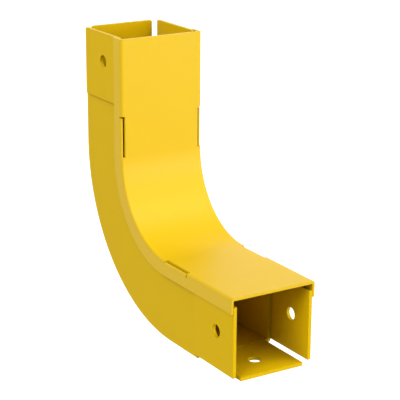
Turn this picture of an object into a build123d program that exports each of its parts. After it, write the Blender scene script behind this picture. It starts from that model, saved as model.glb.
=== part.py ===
# Fibre raceway fitting: a 90 degree inside bend for a square cable duct, with its clip-on cover.
# The duct's two outer faces lie in the planes x = 0 (back) and z = 0 (underside). One leg runs along +X
# and the other along +Z, both centred on y = 0. "Depth" is the distance from the outer face towards the
# cover, the same all round the bend, and "along" is the distance from the corner of the outer planes.
from build123d import *
from math import hypot
import os

# Duct body: two side walls with the floor sheet set in between them
DUCT_WIDTH = 50.0  # over the outer faces of the walls
WALL_HEIGHT = 50.5  # from the walls' outer edge to the cover's underside
SHEET = 2.1  # walls, floor and tabs
SKIRT = 1.3  # how far the walls stand past the floor's outer face
WALL_EDGE = 0.5  # rounding along the walls' outer edge

# Bend and legs
INNER_RADIUS = 51.4  # top of the cover round the bend
STRAIGHT = 73.8  # from the end of the bend to the end of the leg

# Cover: a web with a flange down each side
WEB = 1.8
FLANGE = 1.4
FLANGE_HEIGHT = 9.9  # over the top of the web
COVER_PLAY = 0.15  # between the side tabs and the flanges
FOLD_RADIUS = 1.6  # outer corner of the cover on the legs
BEND_FOLD_RADIUS = 1.1  # the same corner round the bend
INNER_FOLD_RADIUS = 0.6  # inner corner of the cover
FLANGE_EDGE = 0.4  # rounding of the flange's lower edge

# Joining tabs at each leg's end, outside the walls and under the floor
SOCKET_DEPTH = 38.2  # from the leg's end to the ends of the walls and floor
TAB_OVERLAP = 4.0  # tab past the shoulder, where it is moulded to the wall
TAB_WIDTH = 43.2
TAB_SETBACK = 3.4  # side tabs from the walls' outer edge
TAB_ROOT_CORNER = 1.2
TAB_TIP_CORNER = 0.4
TAB_LEAD_IN = 1.2  # rounding along the side tabs' outer edge, which leads the flanges over it
FLOOR_TAB_SETBACK = 0.6  # floor tab's outer face from the walls' outer edge
FLOOR_TAB_CORNER = 2.5
SHOULDER_EDGE = 1.5  # rounding of the walls beside the roots of the tabs
HOLE_DIAMETER = 8.0
HOLE_INSET = 18.0  # hole centre from the leg's end
HOLE_HEIGHT = 26.4  # centre of the side holes from the walls' outer edge

# Snap slots through the cover's corners, one beside each end of the bend on both sides
SLOT_LENGTH = 25.8
SLOT_GAP = 1.15  # between the flange and the web's edge, and the reach of the ridge that is formed through it
SLOT_RECESS = 1.1  # flange top in the slot, below the top of the web
SHELF_RADIUS = 0.9  # outer corner of the flange's top in the slot
NOTCH_LENGTH = 1.1  # relief cut through the flange at the slot's far end
NOTCH_DEPTH = 3.0

# Snap: a ridge inside the flange hooks under a rib on the wall, both inside the slot's length
RIB_REACH = 1.6
SNAP_HEIGHT = 1.7
SNAP_FLAT = 0.3  # blunt crest of the rib and of the ridge
SNAP_CLEARANCE = 0.1  # between the rib's underside and the ridge
SNAP_SETBACK = 1.2  # ridge from the flange's lower edge
SNAP_END_GAP = 2.0  # rib and ridge from each end of the slot

HEIGHT = WALL_HEIGHT + WEB
BEND_CENTRE = HEIGHT + INNER_RADIUS
END = BEND_CENTRE + STRAIGHT
SHOULDER = END - SOCKET_DEPTH
TAB_LENGTH = SOCKET_DEPTH + TAB_OVERLAP
TAB_ROOT = END - TAB_LENGTH
WALL_OUTSIDE = DUCT_WIDTH / 2
TAB_OUTSIDE = WALL_OUTSIDE + SHEET
TAB_FRONT = TAB_SETBACK + TAB_WIDTH
COVER_INSIDE = TAB_OUTSIDE + COVER_PLAY
COVER_OUTSIDE = COVER_INSIDE + FLANGE
FLANGE_LOW = HEIGHT - FLANGE_HEIGHT
SLOT_SHELF = HEIGHT - SLOT_RECESS
SLOT_END = BEND_CENTRE + SLOT_LENGTH
RIDGE_TOP = FLANGE_LOW + SNAP_SETBACK + SNAP_HEIGHT
RIB_LOW = RIDGE_TOP + SNAP_CLEARANCE
SNAP_START = BEND_CENTRE + SNAP_END_GAP
SNAP_LENGTH = SLOT_LENGTH - 2 * SNAP_END_GAP
SIDES = (-1, 1)
NEARLY = 0.01  # for choosing edges by where they lie

# Each leg's own frame: local x across the duct, y the depth and z along the leg
LEGS = (
    Plane(origin=(0, 0, 0), x_dir=(0, 1, 0), z_dir=(1, 0, 0)),
    Plane(origin=(0, 0, 0), x_dir=(0, -1, 0), z_dir=(0, 0, 1)),
)


def side_plane(leg, across):
    """Plane along one side of a leg, with local x along the leg and local y the depth."""
    return Plane(origin=leg.from_local_coords((across, 0, 0)), x_dir=leg.z_dir, z_dir=-leg.x_dir)


def depth_plane(leg, depth):
    """Plane through a leg at one depth, with local x along the leg and local y across it."""
    return Plane(origin=leg.from_local_coords((0, depth, 0)), x_dir=leg.z_dir, z_dir=leg.y_dir)


def depth_of(point):
    """Distance of a point from the duct's outer face, on either leg or round the bend."""
    if point.X > BEND_CENTRE:
        return point.Z
    if point.Z > BEND_CENTRE:
        return point.X
    return BEND_CENTRE - hypot(point.X - BEND_CENTRE, point.Z - BEND_CENTRE)


def edges_along(part, across, depth):
    """Edges that follow the duct at one depth and one distance to either side of its middle."""

    def is_on_line(point):
        return abs(abs(point.Y) - across) < NEARLY and abs(depth_of(point) - depth) < NEARLY

    return part.edges().filter_by(lambda edge: all(is_on_line(edge @ step) for step in (0, 0.5, 1)))


def bend_band(across, low, high, reach):
    """Side view of the whole bend between two depths, out to the same reach on both legs."""
    with BuildSketch(Plane.XZ.offset(-across)) as band:
        with BuildLine():
            for depth in (low, high):
                Line((depth, reach), (depth, BEND_CENTRE))
                CenterArc((BEND_CENTRE, BEND_CENTRE), BEND_CENTRE - depth, 180, 90)
                Line((BEND_CENTRE, depth), (reach, depth))
            Line((low, reach), (high, reach))
            Line((reach, low), (reach, high))
        make_face()
    return band.sketch


def joining_tab(plane, middle, hole_at, tip_corner, root_corner):
    """Outline of one joining tab from its root to the leg's end, with its screw hole."""
    with BuildSketch(plane) as tab:
        with Locations((END - TAB_LENGTH / 2, middle)):
            Rectangle(TAB_LENGTH, TAB_WIDTH)
        corners = tab.vertices().group_by(Axis(plane.origin, plane.x_dir))
        fillet(corners[0], root_corner)
        fillet(corners[-1], tip_corner)
        with Locations((END - HOLE_INSET, hole_at)):
            Circle(HOLE_DIAMETER / 2, mode=Mode.SUBTRACT)
    return tab.sketch


def beyond_rounding(plane, side, across, depth, radius, outward):
    """What a rounding takes off an outer corner of a leg's section. The corner points to its own side, and
    towards the cover (1) or away from it (-1)."""
    with BuildSketch(plane) as corner:
        with Locations((side * (across - radius / 2), depth - outward * radius / 2)):
            Rectangle(radius, radius)
        with Locations((side * (across - radius), depth - outward * radius)):
            Circle(radius, mode=Mode.SUBTRACT)
    return corner.sketch


def snap_section(plane, side, wall, reach, flat_depth, slope_depth):
    """Wedge across the leg: a flat face that holds, a short blunt crest and a sloped face that leads in."""
    crest = wall + reach
    toward_slope = SNAP_FLAT if slope_depth > flat_depth else -SNAP_FLAT
    with BuildSketch(plane) as wedge:
        with BuildLine():
            Polyline(
                (side * wall, flat_depth),
                (side * crest, flat_depth),
                (side * crest, flat_depth + toward_slope),
                (side * wall, slope_depth),
                close=True,
            )
        make_face()
    return wedge.sketch


# Body: both walls, the floor between them, six joining tabs and the four snap ribs, moulded as one
with BuildPart() as body:
    for side in SIDES:
        extrude(bend_band(side * (WALL_OUTSIDE - SHEET / 2), 0, WALL_HEIGHT, SHOULDER), SHEET / 2, both=True)
    extrude(bend_band(0, SKIRT, SKIRT + SHEET, SHOULDER), WALL_OUTSIDE - SHEET / 2, both=True)

    # The walls' outer edges are eased all along the legs and round the outside of the bend
    fillet(edges_along(body, WALL_OUTSIDE, 0), WALL_EDGE)

    for leg in LEGS:
        # Skirts stop at the root of the tabs, which leaves the corners open between the tabs
        with BuildSketch(depth_plane(leg, 0)):
            with Locations((SHOULDER - TAB_OVERLAP / 2, 0)):
                Rectangle(TAB_OVERLAP, DUCT_WIDTH)
        extrude(amount=SKIRT, mode=Mode.SUBTRACT)

        for side in SIDES:
            wall_corner = beyond_rounding(leg.offset(TAB_ROOT), side, WALL_OUTSIDE, SKIRT, SHOULDER_EDGE, -1)
            extrude(wall_corner, TAB_OVERLAP, mode=Mode.SUBTRACT)

            side_tab = joining_tab(
                side_plane(leg, side * (WALL_OUTSIDE + SHEET / 2)),
                TAB_SETBACK + TAB_WIDTH / 2,
                HOLE_HEIGHT,
                TAB_TIP_CORNER,
                TAB_ROOT_CORNER,
            )
            extrude(side_tab, SHEET / 2, both=True)
            tab_corner = beyond_rounding(leg.offset(TAB_ROOT), side, TAB_OUTSIDE, TAB_FRONT, TAB_LEAD_IN, 1)
            extrude(tab_corner, TAB_LENGTH, mode=Mode.SUBTRACT)

            snap_rib = snap_section(
                leg.offset(SNAP_START), side, WALL_OUTSIDE, RIB_REACH, RIB_LOW, RIB_LOW + SNAP_HEIGHT
            )
            extrude(snap_rib, SNAP_LENGTH)

        floor_tab = joining_tab(
            depth_plane(leg, FLOOR_TAB_SETBACK + SHEET / 2), 0, 0, FLOOR_TAB_CORNER, TAB_ROOT_CORNER
        )
        extrude(floor_tab, SHEET / 2, both=True)
body.part.label = "body"

# Cover: one channel over the open side of the duct, along both legs and round the inside of the bend
with BuildPart() as cover:
    extrude(bend_band(0, WALL_HEIGHT, HEIGHT, END), COVER_OUTSIDE, both=True)
    for side in SIDES:
        extrude(bend_band(side * (COVER_OUTSIDE - FLANGE / 2), FLANGE_LOW, HEIGHT, END), FLANGE / 2, both=True)

    for leg in LEGS:
        for side in SIDES:
            # Slot through the web, along the inner face of the flange
            with BuildSketch(depth_plane(leg, WALL_HEIGHT)):
                with Locations((BEND_CENTRE + SLOT_LENGTH / 2, side * (COVER_INSIDE - SLOT_GAP / 2))):
                    Rectangle(SLOT_LENGTH, SLOT_GAP)
            extrude(amount=WEB, mode=Mode.SUBTRACT)

            # The flange's own rounded top shows in the slot, a little lower than the web
            with BuildSketch(side_plane(leg, side * (COVER_OUTSIDE - FLANGE / 2))):
                with Locations((BEND_CENTRE + SLOT_LENGTH / 2, HEIGHT - SLOT_RECESS / 2)):
                    Rectangle(SLOT_LENGTH, SLOT_RECESS)
                with Locations((SLOT_END - NOTCH_LENGTH / 2, HEIGHT - NOTCH_DEPTH / 2)):
                    Rectangle(NOTCH_LENGTH, NOTCH_DEPTH)
            extrude(amount=FLANGE / 2, both=True, mode=Mode.SUBTRACT)
            shelf_corner = beyond_rounding(
                leg.offset(BEND_CENTRE), side, COVER_OUTSIDE, SLOT_SHELF, SHELF_RADIUS, 1
            )
            extrude(shelf_corner, SLOT_LENGTH, mode=Mode.SUBTRACT)

            # Snap ridge on the flange's inner face, under the slot
            snap_ridge = snap_section(
                leg.offset(SNAP_START), side, COVER_INSIDE, -SLOT_GAP, RIDGE_TOP, RIDGE_TOP - SNAP_HEIGHT
            )
            extrude(snap_ridge, SNAP_LENGTH)

    # The slots part the cover's corner into a soft fold on each leg and a crisp one round the bend
    folds = edges_along(cover, COVER_OUTSIDE, HEIGHT)
    fillet(folds.filter_by(GeomType.LINE), FOLD_RADIUS)
    fillet(folds.filter_by(GeomType.CIRCLE), BEND_FOLD_RADIUS)
    fillet(edges_along(cover, COVER_INSIDE, WALL_HEIGHT), INNER_FOLD_RADIUS)
    fillet(edges_along(cover, COVER_OUTSIDE, FLANGE_LOW), FLANGE_EDGE)
cover.part.label = "cover"

os.makedirs("parts", exist_ok=True)
export_step(body.part, "parts/body.step")
export_step(cover.part, "parts/cover.step")
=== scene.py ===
from math import cos, radians, sin

import bmesh
import bpy
from mathutils import Matrix, Vector


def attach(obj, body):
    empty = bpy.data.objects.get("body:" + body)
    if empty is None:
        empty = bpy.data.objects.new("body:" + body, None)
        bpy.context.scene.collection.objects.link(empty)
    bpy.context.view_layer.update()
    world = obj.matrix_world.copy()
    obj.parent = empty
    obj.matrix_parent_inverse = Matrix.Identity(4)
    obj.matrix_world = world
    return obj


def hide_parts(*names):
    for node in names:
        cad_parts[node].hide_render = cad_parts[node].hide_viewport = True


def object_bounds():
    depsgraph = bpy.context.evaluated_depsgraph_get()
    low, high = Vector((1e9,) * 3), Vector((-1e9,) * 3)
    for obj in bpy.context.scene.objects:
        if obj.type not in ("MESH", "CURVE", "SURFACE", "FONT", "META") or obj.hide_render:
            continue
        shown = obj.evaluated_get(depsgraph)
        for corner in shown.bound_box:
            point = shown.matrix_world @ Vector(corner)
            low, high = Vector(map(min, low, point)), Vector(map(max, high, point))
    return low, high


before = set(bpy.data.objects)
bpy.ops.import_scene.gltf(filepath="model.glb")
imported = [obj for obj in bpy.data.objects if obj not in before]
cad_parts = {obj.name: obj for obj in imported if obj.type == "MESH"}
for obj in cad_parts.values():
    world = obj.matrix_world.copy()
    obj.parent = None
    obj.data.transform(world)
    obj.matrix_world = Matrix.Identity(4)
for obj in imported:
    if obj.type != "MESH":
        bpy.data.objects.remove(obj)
cad_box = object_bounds()
mm = 0.001


# Duct body: one moulding in satin yellow flame-retardant plastic. Its walls, set-in floor, joining tabs
# and snap ribs have no joint line between them, and its edges are just broken by the mould.

body_edge_radius = 0.22 * mm
body_yellow = (0.77, 0.495, 0.002, 1)
# Painted shade: the darker body colour laid in by ambient occlusion in hollows, inside the sockets and under
# the flanges.
body_painted_shade = (0.20, 0.162, 0.003, 1)


class Wire:
    """A socket of a node tree, with the sums that the finishes below need."""

    def __init__(self, tree, socket):
        self.tree = tree
        self.socket = socket

    def made(self, kind, settings=(), output=0, **values):
        """A new node's output. Its inputs are named in words, or by number as _0, _1 and so on."""
        node = self.tree.nodes.new(kind)
        for name, setting in dict(settings).items():
            setattr(node, name, setting)
        for name, value in values.items():
            numbered = name[1:].isdigit()
            socket = node.inputs[int(name[1:])] if numbered else node.inputs[name.replace("_", " ")]
            if isinstance(value, Wire):
                self.tree.links.new(value.socket, socket)
            else:
                socket.default_value = value
        return Wire(self.tree, node.outputs[output])

    def __add__(self, other):
        return self.made("ShaderNodeMath", {"operation": "ADD"}, _0=self, _1=other)

    def __mul__(self, other):
        return self.made("ShaderNodeMath", {"operation": "MULTIPLY"}, _0=self, _1=other)

    __radd__ = __add__
    __rmul__ = __mul__


def moulded_plastic(name, colour, painted_shade_colour, shine, grain_depth):
    """Satin plastic with a faint cloud and mould grain, and painted shade: its colour turns darker where
    ambient occlusion finds it sheltered.
    """
    clouds_per_metre, sags_per_metre, grains_per_metre = 35.0, 22.0, 2600.0
    cloud_dimming = 0.955
    painted_shade_reach = 40 * mm
    open_gain = 1.1
    smoothest, cloud_roughening = 0.41, 0.08
    edge_softening = 0.25 * mm
    sag_depth = 0.25 * mm
    sag_strength, grain_strength = 0.25, 0.2
    refraction = 1.47

    material = bpy.data.materials.new(name)
    material.use_nodes = True
    tree = material.node_tree
    finish = tree.nodes["Principled BSDF"]
    place = Wire(tree, tree.nodes.new("ShaderNodeTexCoord").outputs["Object"])

    clouded = tuple(cloud_dimming * channel for channel in colour[:3]) + (1,)
    cloud = place.made("ShaderNodeTexNoise", Vector=place, Scale=clouds_per_metre, Detail=3.0)
    # Painted shade: ambient occlusion mixes the colour toward the darker shade colour in hollows, inside the
    # sockets and under the flanges.
    openness = place.made("ShaderNodeAmbientOcclusion", {"samples": 8}, "AO", Distance=painted_shade_reach)
    even = place.made("ShaderNodeMix", {"data_type": "RGBA"}, 2, _0=cloud, _6=clouded, _7=colour)
    shaded = place.made(
        "ShaderNodeMix", {"data_type": "RGBA"}, 2, _0=openness * open_gain, _6=painted_shade_colour, _7=even
    )
    tree.links.new(shaded.socket, finish.inputs["Base Color"])
    tree.links.new((cloud * cloud_roughening + smoothest).socket, finish.inputs["Roughness"])

    sag = place.made("ShaderNodeTexNoise", Vector=place, Scale=sags_per_metre, Detail=1.0)
    grain = place.made("ShaderNodeTexNoise", Vector=place, Scale=grains_per_metre, Detail=2.0)
    soft_edge = place.made("ShaderNodeBevel", {"samples": 4}, Radius=edge_softening)
    waved = place.made(
        "ShaderNodeBump", Height=sag, Strength=sag_strength, Distance=sag_depth, Normal=soft_edge
    )
    grained = place.made(
        "ShaderNodeBump", Height=grain, Strength=grain_strength, Distance=grain_depth, Normal=waved
    )
    tree.links.new(grained.socket, finish.inputs["Normal"])
    finish.inputs["IOR"].default_value = refraction
    finish.inputs["Specular IOR Level"].default_value = shine
    return material


def moulding_from(node, edge_radius, material):
    """The CAD node's own surface as one smooth mesh, with its sharp edges broken."""
    same_point = 0.002 * mm
    flat_angle, sharp_angle = radians(0.2), radians(40)

    piece = bpy.data.objects.new(node.name + "_moulding", node.data.copy())
    bpy.context.scene.collection.objects.link(piece)
    shell = bmesh.new()
    shell.from_mesh(piece.data)
    bmesh.ops.remove_doubles(shell, verts=shell.verts, dist=same_point)
    bmesh.ops.dissolve_limit(shell, angle_limit=flat_angle, verts=shell.verts, edges=shell.edges)
    for face in shell.faces:
        face.smooth = True
        face.material_index = 0
    shell.to_mesh(piece.data)
    shell.free()
    piece.data.materials.clear()
    piece.data.materials.append(material)
    broken_edges = piece.modifiers.new("broken_edges", "BEVEL")
    broken_edges.width = edge_radius
    broken_edges.segments = 2
    broken_edges.limit_method = "ANGLE"
    broken_edges.angle_limit = sharp_angle
    flat_faces = piece.modifiers.new("flat_faces", "WEIGHTED_NORMAL")
    flat_faces.weight = 100
    return piece


body = moulding_from(
    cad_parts["body"],
    body_edge_radius,
    moulded_plastic("body_plastic", body_yellow, body_painted_shade, shine=0.06, grain_depth=0.03 * mm),
)
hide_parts("body")
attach(body, "root")


# Cover: one channel moulded in the same yellow plastic, a little glossier outside. It clips on over the
# walls and tabs by the ridges inside its flanges, which its four corner slots give away.

cover_edge_radius = 0.2 * mm
cover_yellow = (0.77, 0.495, 0.003, 1)
# Painted shade: the darker cover colour laid in by ambient occlusion where the cover is sheltered.
cover_painted_shade = (0.60, 0.40, 0.004, 1)
cover = moulding_from(
    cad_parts["cover"],
    cover_edge_radius,
    moulded_plastic("cover_plastic", cover_yellow, cover_painted_shade, shine=0.25, grain_depth=0.025 * mm),
)
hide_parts("cover")
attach(cover, "root")


# Studio floor: a plain sheet well below the fitting, which is held by its tabs in use and stands on nothing.
# It is seen as glowing white, also in gloss and through glass, but it lights the fitting only as matt grey
# board, which throws a little light back up.

floor_drop = 120 * mm
floor_half = 6.0
board_grey = (0.35, 0.35, 0.35, 1)
board_roughness = 0.9
seen_strength = 1.0


def rays_that_see(tree):
    """1 for a ray from the camera, from gloss or through glass, so that these see the studio as white."""
    path = tree.nodes.new("ShaderNodeLightPath")
    camera_ray, glossy_ray, glass_ray = (
        Wire(tree, path.outputs["Is " + kind + " Ray"]) for kind in ("Camera", "Glossy", "Transmission")
    )
    return camera_ray + glossy_ray + glass_ray


low, high = cad_box
floor_mesh = bpy.data.meshes.new("studio_floor")
floor_mesh.from_pydata(
    [(x, y, low.z - floor_drop) for x, y in ((-1, -1), (1, -1), (1, 1), (-1, 1))], [], [(0, 1, 2, 3)]
)
floor_mesh.transform(Matrix.Diagonal((floor_half, floor_half, 1, 1)))
floor = bpy.data.objects.new("studio_floor", floor_mesh)
bpy.context.scene.collection.objects.link(floor)

board = bpy.data.materials.new("pale_board")
board.use_nodes = True
board_nodes = board.node_tree.nodes
board_nodes["Principled BSDF"].inputs["Base Color"].default_value = board_grey
board_nodes["Principled BSDF"].inputs["Roughness"].default_value = board_roughness
matt_grey = Wire(board.node_tree, board_nodes["Principled BSDF"].outputs[0])
white_glow = matt_grey.made("ShaderNodeEmission", Strength=seen_strength)
glowing = matt_grey.made("ShaderNodeAddShader", _0=matt_grey, _1=white_glow)
either = matt_grey.made(
    "ShaderNodeMixShader", _0=rays_that_see(board.node_tree), _1=matt_grey, _2=glowing
)
board.node_tree.links.new(either.socket, board_nodes["Material Output"].inputs["Surface"])
floor.data.materials.append(board)


# Light: a dim room that is seen as white, with lamps at the right and in front for the upright cover, at the
# left for the walls and the sockets, overhead and behind for the flat top, at the rear for the back, and one
# above the bend for the sheen on it.

white = (1, 1, 1, 1)
room_strength = 0.19
lamp_distance = 1.6

room = bpy.data.worlds.new("white_room")
bpy.context.scene.world = room
room.use_nodes = True
room_nodes = room.node_tree.nodes
room_nodes["Background"].inputs["Color"].default_value = white
room_nodes["Background"].inputs["Strength"].default_value = room_strength
dim_room = Wire(room.node_tree, room_nodes["Background"].outputs[0])
white_room = dim_room.made("ShaderNodeBackground", Color=white, Strength=seen_strength)
either_room = dim_room.made(
    "ShaderNodeMixShader", _0=rays_that_see(room.node_tree), _1=dim_room, _2=white_room
)
room.node_tree.links.new(either_room.socket, room_nodes["World Output"].inputs["Surface"])

middle = (low + high) / 2


def soft_lamp(name, toward, width, watts):
    """A square area lamp that looks at the middle of the fitting."""
    lamp = bpy.data.lights.new(name, "AREA")
    lamp.size = width
    lamp.energy = watts
    lamp_object = bpy.data.objects.new(name, lamp)
    bpy.context.scene.collection.objects.link(lamp_object)
    direction = Vector(toward).normalized()
    lamp_object.location = middle + direction * lamp_distance
    lamp_object.rotation_mode = "QUATERNION"
    lamp_object.rotation_quaternion = direction.to_track_quat("Z", "Y")


soft_lamp("right_lamp", toward=(0.70, 0.60, 0.38), width=1.6, watts=14.2)
soft_lamp("front_lamp", toward=(0.85, 0.52, 0.06), width=0.4, watts=7.1)
soft_lamp("overhead_lamp", toward=(0.05, -0.28, 0.96), width=1.8, watts=1.8)
soft_lamp("sheen_lamp", toward=(0.35, 0.51, 0.78), width=0.6, watts=7.3)
soft_lamp("left_lamp", toward=(0.34, -0.78, 0.52), width=0.9, watts=18.0)
soft_lamp("back_lamp", toward=(-0.78, 0.50, 0.36), width=1.6, watts=4.4)
soft_lamp("rear_lamp", toward=(-0.92, 0.02, 0.38), width=1.2, watts=8.5)


# Camera: at the photograph's viewing angle, found by fitting the fitting's own corners to the picture. It
# has no shift, so that the other views stay framed.

picture_width = 400
camera_azimuth, camera_elevation, camera_roll = radians(58.12), radians(17.2), radians(0.32)
camera_distance = 869.1 * mm
camera_target = Vector((97.6, 0, 84.2)) * mm
focal_pixels = 1435.6
sight_limit = 50

camera = bpy.data.objects.new("camera", bpy.data.cameras.new("camera"))
bpy.context.scene.collection.objects.link(camera)
back = Vector(
    (
        sin(camera_azimuth) * cos(camera_elevation),
        -cos(camera_azimuth) * cos(camera_elevation),
        sin(camera_elevation),
    )
)
level = Vector((0, 0, 1)).cross(back).normalized()
upward = back.cross(level)
right = cos(camera_roll) * level + sin(camera_roll) * upward
up = cos(camera_roll) * upward - sin(camera_roll) * level
camera.matrix_world = Matrix.Translation(camera_target + back * camera_distance) @ Matrix(
    (right, up, back)
).transposed().to_4x4()
camera.data.lens = camera.data.sensor_width * focal_pixels / picture_width
camera.data.clip_end = sight_limit
bpy.context.scene.camera = camera
bpy.context.scene.view_settings.view_transform = "Standard"
